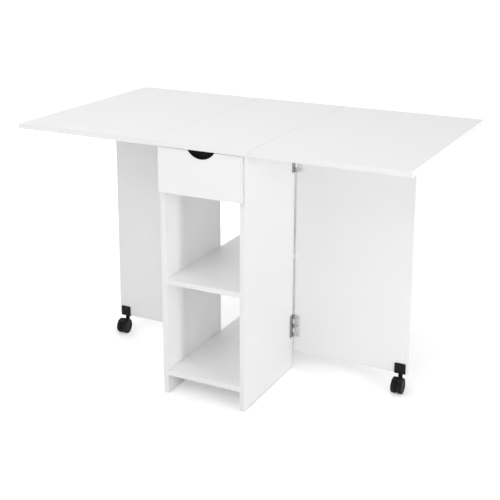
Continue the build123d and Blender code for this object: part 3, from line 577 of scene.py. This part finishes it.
# Leaf hinges: three small butt hinges to a leaf, of zinc-plated steel, with the pins under the
# seam. The same plating is on the pins, screws and axles elsewhere in the table.


def zinc_plated(name, colour, roughness, spread):
    """Zinc plating on steel: full metal, with a very fine skin and small patches."""
    return pressed_finish(
        name,
        colour,
        roughness,
        grain_size=0.0004,
        patch_size=0.012,
        height=0.00003,
        metallic=1.0,
        spread=spread,
    )


zinc_plate = zinc_plated("zinc_plate", (0.50, 0.50, 0.49), roughness=0.34, spread=0.06)
dress(
    zinc_plate,
    "flap_hinge_top_leaves",
    "flap_hinge_pins",
    "flap_hinge_top_screws",
    "runner_screws",
    "drawer_back_screws",
)
for side in ("right", "left"):
    dress(
        zinc_plate,
        f"{side}_flap_hinge_leaves",
        f"{side}_flap_hinge_screws",
        f"{side}_caster_axle",
    )


# Gates: the two boards that swing out under the leaves, of the same white sheet as the cabinet
# and banded all round.
for board in ("right_gate", "left_gate"):
    dress(faced_board(board), board)


# Gate hinges: two 70 mm butt hinges to a gate, zinc-plated, with a loose pin and three
# countersunk screws to a leaf. The plating is painted lighter on the gates' leaves, as painted
# light, and darker on the side panels' leaves, as painted shade in the corner by the gate.
# Two copies of the same plating: a lighter one with painted light for the gates' leaves, and a
# darker one with painted shade for the side panels' leaves.
zinc_with_painted_light = zinc_plated("zinc_with_painted_light", (0.72, 0.72, 0.71), roughness=0.34, spread=0.05)
zinc_with_painted_shade = zinc_plated("zinc_with_painted_shade", (0.34, 0.34, 0.335), roughness=0.36, spread=0.10)
dress(zinc_with_painted_shade, "gate_hinge_side_leaves")
dress(zinc_plate, "gate_hinge_pins")
for side in ("right", "left"):
    dress(zinc_with_painted_light, f"{side}_gate_hinge_leaves")

screw_pitch = 0.027
screw_head = 0.0032
screw_crown = 0.0004
screw_sink = 0.0015
screw_shank = 0.0016
screw_length = 0.012
screw_point = 0.002
head_rings = 26
first_turn = 0.3
turn_step = 0.7
recess_reach = 0.0017
recess_half_width = 0.00021
recess_flank = 0.00042
recess_end = 0.00085
recess_depth = 0.0010


def cross_head_screw(columns=64):
    """A countersunk screw, as rings round its axis, with the head's face at height nought. The
    head swells by crown * (1 - (r / head)^2), and a cross is sunk into it. Its depth fades evenly
    to nought over the flank, where the smaller of |x| and |y| passes the half width, and over the
    last stretch before its reach."""
    radius = np.concatenate([
        np.linspace(0.0, screw_head, head_rings),
        [screw_shank, screw_shank, 0.0],
    ])
    below = np.concatenate([
        screw_crown * (1 - (radius[:head_rings] / screw_head) ** 2),
        [-screw_sink, screw_point - screw_length, -screw_length],
    ])
    angle = np.linspace(0.0, 2 * math.pi, columns, endpoint=False)
    x = radius[:, None] * np.cos(angle)
    y = radius[:, None] * np.sin(angle)
    off_arm = np.minimum(np.abs(x), np.abs(y))
    in_arm = np.clip((recess_half_width + recess_flank - off_arm) / recess_flank, 0.0, 1.0)
    in_reach = np.clip((recess_reach - radius[:, None]) / recess_end, 0.0, 1.0)
    on_head = (np.arange(len(radius)) < head_rings)[:, None]
    sunk = recess_depth * in_arm * in_reach * on_head
    return np.stack([x, y, below[:, None] - sunk], axis=-1)


def screws_at(places, out):
    """Screws with their faces at these places and their heads towards out. Each one was driven
    home at its own turn, a fixed step on from the last."""
    out = np.array(out, float)
    side = np.cross(out, (0.0, 0.0, 1.0))
    side /= np.linalg.norm(side)
    up = np.cross(side, out)
    shells = []
    for count, place in enumerate(places):
        turn = first_turn + turn_step * count
        along = math.cos(turn) * side + math.sin(turn) * up
        athwart = np.cross(out, along)
        shells.append(np.array(place) + cross_head_screw() @ np.stack([along, athwart, out]))
    return shells


def hinge_screw_heights(node):
    """Heights of the screws of a node that holds an upper and a lower row of three."""
    low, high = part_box(node)
    reach = screw_head + screw_pitch
    middles = (low.z + reach, high.z - reach)
    return [middle + step * screw_pitch for middle in middles for step in (-1, 0, 1)]


side_low, side_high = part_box("gate_hinge_side_screws")
side_line = (side_low.y + side_high.y) / 2
side_heights = hinge_screw_heights("gate_hinge_side_screws")
ringed_piece(
    "side_panel_hinge_screws",
    screws_at([(side_high.x, side_line, height) for height in side_heights], (1, 0, 0))
    + screws_at([(side_low.x, side_line, height) for height in side_heights], (-1, 0, 0)),
    "cabinet",
    "hinge_steel",
    zinc_plate,
    "gate_hinge_side_screws",
)
for side in ("right", "left"):
    low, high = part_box(f"{side}_gate_hinge_screws")
    heights = hinge_screw_heights(f"{side}_gate_hinge_screws")
    ringed_piece(
        f"{side}_gate_hinge_cross_screws",
        screws_at([((low.x + high.x) / 2, low.y, height) for height in heights], (0, -1, 0)),
        f"{side}_swing_gate",
        "hinge_steel",
        zinc_plate,
        f"{side}_gate_hinge_screws",
    )


# Caster brackets: angle plates of pressed steel, powder-coated black, that wrap the gates' lower
# ends. Four black screws hold each one, and the caster's stem goes up through it into the gate.
powder_coat = pressed_finish(
    "black_powder_coat",
    (0.010, 0.010, 0.0105),
    roughness=0.45,
    grain_size=0.0008,
    patch_size=0.02,
    height=0.0001,
    gloss=0.16,
    spread=0.2,
)
for side in ("right", "left"):
    dress(powder_coat, f"{side}_caster_bracket", f"{side}_caster_stem")
    low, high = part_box(f"{side}_bracket_screws")
    ringed_piece(
        f"{side}_bracket_cross_screws",
        screws_at(
            [
                (x, low.y, z)
                for x in (low.x + screw_head, high.x - screw_head)
                for z in (low.z + screw_head, high.z - screw_head)
            ],
            (0, -1, 0),
        ),
        f"{side}_swing_gate",
        "bracket_black",
        powder_coat,
        f"{side}_bracket_screws",
    )


# Caster hoods: a crowned cap over the tops of both wheels, moulded in black plastic in one piece
# with the thick web between them, which carries the axle. A neck behind takes the steel stem.


def turned(profile, centre, axis, columns=96):
    """A turned surface, as rings. The profile point (along, radius) goes round the axis on
    centre + along * axis + radius * (cos(angle) * side + sin(angle) * up)."""
    axis = np.array(axis, float)
    side = np.cross(axis, np.eye(3)[np.argmin(np.abs(axis))])
    side /= np.linalg.norm(side)
    up = np.cross(axis, side)
    angle = np.linspace(0.0, 2 * math.pi, columns, endpoint=False)[:, None]
    ring = np.cos(angle) * side + np.sin(angle) * up
    profile = np.array(profile)
    return np.array(centre) + profile[:, :1, None] * axis + profile[:, 1:, None] * ring


web_half = 0.0025
wheel_gap = 0.0004
wheel_width = 0.0136
wheel_outer = web_half + wheel_gap + wheel_width
well_gap = 0.0010
hood_wall = 0.0022
hood_lip = 0.0014
hood_edge = 0.0006
hood_set_in = 0.0016
hood_half = wheel_outer - hood_set_in
hood_start = math.radians(-20.0)
hood_span = math.radians(150.0)
disc_radius = 0.0185
disc_edge = 0.0005
disc_step = math.radians(8.0)
neck_radius = 0.0065
neck_edge = 0.0007
neck_sink = 0.0006
web_margin = 0.0001
end_share = 0.02
end_thickness = 0.2


def caster_axes(side):
    """The middle of the axle, the direction from the left to the right wheel, level and to the
    rear, and the middle of the stem, from the boxes of the wheels and the stem."""
    middles = {
        name: np.array(sum(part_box(f"{side}_caster_{name}"), Vector()) / 2)
        for name in ("right_wheel", "left_wheel", "stem")
    }
    hub = (middles["right_wheel"] + middles["left_wheel"]) / 2
    across = middles["right_wheel"] - middles["left_wheel"]
    across[2] = 0.0
    across /= np.linalg.norm(across)
    back = np.array([-across[1], across[0], 0.0])
    return hub, across, back, middles["stem"]


def cap_shell(hub, across, back, well, rows=64, arc_steps=17, end_steps=6):
    """The cap. Its section swells by (wall - lip) * (1 - (a / half)^2) from edge to edge, and is
    carried round the axle; at both ends its thickness runs out like the end of an ellipse."""
    a = np.linspace(-hood_half, hood_half, arc_steps)
    crown = well + hood_lip + (hood_wall - hood_lip) * (1 - (a / hood_half) ** 2)
    corners = [*zip(a, crown), (hood_half, well), (-hood_half, well)]
    reaches = np.zeros(len(corners))
    reaches[[0, -3, -2, -1]] = hood_edge
    section = eased(corners, reaches, steps=5)
    turn = np.concatenate([
        np.linspace(0.0, end_share, end_steps)[:-1],
        np.linspace(end_share, 1 - end_share, rows),
        np.linspace(1 - end_share, 1.0, end_steps)[1:],
    ])
    to_end = np.clip(np.minimum(turn, 1 - turn) / end_share, 0.0, 1.0)
    thick = end_thickness + (1 - end_thickness) * np.sqrt(1 - (1 - to_end[:, None]) ** 2)
    mid = well + hood_wall / 2
    radius = mid + (section[:, 1] - mid) * thick
    angle = (hood_start + hood_span * turn)[:, None]
    outward = np.cos(angle) * back + np.sin(angle) * np.array([0.0, 0.0, 1.0])
    return hub + section[:, :1] * across + radius[:, :, None] * outward[:, None, :]


def web_shell(hub, across, back, well, columns=144):
    """The web, a disc that reaches out to the middle of the cap's wall where there is a cap. Its
    outline is disc + (wall's middle - disc) * step(angle), with a soft step at both ends of the
    cap, and its two rims are cut back by the disc's edge."""
    angle = np.linspace(-math.pi, math.pi, columns, endpoint=False)
    past = np.minimum(angle - hood_start, hood_start + hood_span - angle)
    step = np.clip(past / disc_step, 0.0, 1.0)
    step = step * step * (3 - 2 * step)
    rim = disc_radius + (well + hood_wall / 2 - disc_radius) * step
    along = np.array([-web_half, -web_half, disc_edge - web_half])
    along = np.concatenate([along, -along[::-1]])
    inset = np.array([np.inf, disc_edge, 0.0, 0.0, disc_edge, np.inf])[:, None]
    radius = np.maximum(rim - inset, 0.0)
    outward = np.cos(angle)[:, None] * back + np.sin(angle)[:, None] * np.array([0.0, 0.0, 1.0])
    return hub + along[:, None, None] * across + radius[:, :, None] * outward


def neck_shell(hub, across, stem, well, foot, top, rows=24):
    """The neck, turned about the stem. A point that would stand in a wheel's well is moved
    straight out from the axle until it is buried in the cap."""
    corners = [(foot, 0.0), (foot, neck_radius), (top, neck_radius), (top, 0.0)]
    profile = eased(corners, [0.0, neck_edge, neck_edge, 0.0])
    half = len(profile) // 2
    upright = np.linspace(profile[half - 1], profile[half], rows)
    profile = np.concatenate([profile[:half], upright, profile[half:]])
    rings = turned(profile, (stem[0], stem[1], 0.0), (0, 0, 1))
    from_hub = rings - hub
    off_axle = from_hub - (from_hub @ across)[:, :, None] * across
    distance = np.linalg.norm(off_axle, axis=-1, keepdims=True)
    beside_web = np.abs(from_hub @ across)[:, :, None] > web_half - web_margin
    wanted = np.where(beside_web, np.maximum(distance, well + neck_sink), distance)
    return rings + off_axle * (wanted / distance - 1)


satin_black = pressed_finish(
    "hood_moulding",
    (0.011, 0.011, 0.0115),
    roughness=0.42,
    grain_size=0.0006,
    patch_size=0.02,
    height=0.00004,
    gloss=0.14,
    spread=0.2,
)
for side in ("right", "left"):
    hub, across, back, stem = caster_axes(side)
    well = hub[2] + well_gap
    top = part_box(f"{side}_caster_hood")[1].z
    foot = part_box(f"{side}_caster_stem")[0].z
    ringed_piece(
        f"{side}_twin_wheel_hood",
        [
            cap_shell(hub, across, back, well),
            web_shell(hub, across, back, well),
            neck_shell(hub, across, stem, well, foot, top),
        ],
        f"{side}_caster",
        "black_moulding",
        satin_black,
        f"{side}_caster_hood",
    )


# Wheels: two to a caster, moulded in black nylon. Each has a tread with a rounded outer shoulder,
# a shallow dish in its face and a low hub cap, and is hollow on the side of the web.
rim_depth = 0.0040
face_depth = 0.0030
boss_radius = 0.0055
bore_radius = 0.00255
dish_radius = 0.0165
dish_depth = 0.0012
dish_slope = 0.0008
cap_radius = 0.0065
cap_rise = 0.0008
outer_shoulder = 0.0030
inner_shoulder = 0.0008
small_ease = 0.0003
hollow_ease = 0.0010
nylon_black = pressed_finish(
    "black_nylon",
    (0.011, 0.011, 0.0115),
    roughness=0.5,
    grain_size=0.0006,
    patch_size=0.02,
    height=0.00005,
    gloss=0.13,
    spread=0.2,
)
for side in ("right", "left"):
    hub, across, _, _ = caster_axes(side)
    tread_radius = hub[2]
    inner = web_half + wheel_gap
    face = wheel_outer - face_depth
    dish = wheel_outer - dish_depth
    rounded_profile = [
        ((wheel_outer - face_depth / 2, 0.0), 0.0),
        ((wheel_outer - face_depth / 2, bore_radius), 0.0),
        ((inner, bore_radius), 0.0),
        ((inner, boss_radius), small_ease),
        ((face, boss_radius), hollow_ease),
        ((face, tread_radius - rim_depth), hollow_ease),
        ((inner, tread_radius - rim_depth), small_ease),
        ((inner, tread_radius), inner_shoulder),
        ((wheel_outer, tread_radius), outer_shoulder),
        ((wheel_outer, dish_radius), small_ease),
        ((dish, dish_radius - dish_slope), small_ease),
        ((dish, cap_radius), small_ease),
        ((dish + cap_rise, cap_radius - dish_slope), small_ease),
        ((dish + cap_rise, 0.0), 0.0),
    ]
    corners, reaches = zip(*rounded_profile)
    profile = eased(corners, reaches)
    for wheel, way in (("right", 1), ("left", -1)):
        ringed_piece(
            f"{side}_caster_{wheel}_tread",
            [turned(profile, hub, way * across)],
            f"{side}_caster_{wheel}_roller",
            "wheel_black",
            nylon_black,
            f"{side}_caster_{wheel}_wheel",
        )


# Glides: round white nylon pads, each on its nail. Six stand under the cabinet's panels and two
# on each gate's upper edge, where the raised leaf rests and slides.
dress(nylon, "foot_glides", "right_gate_glides", "left_gate_glides")
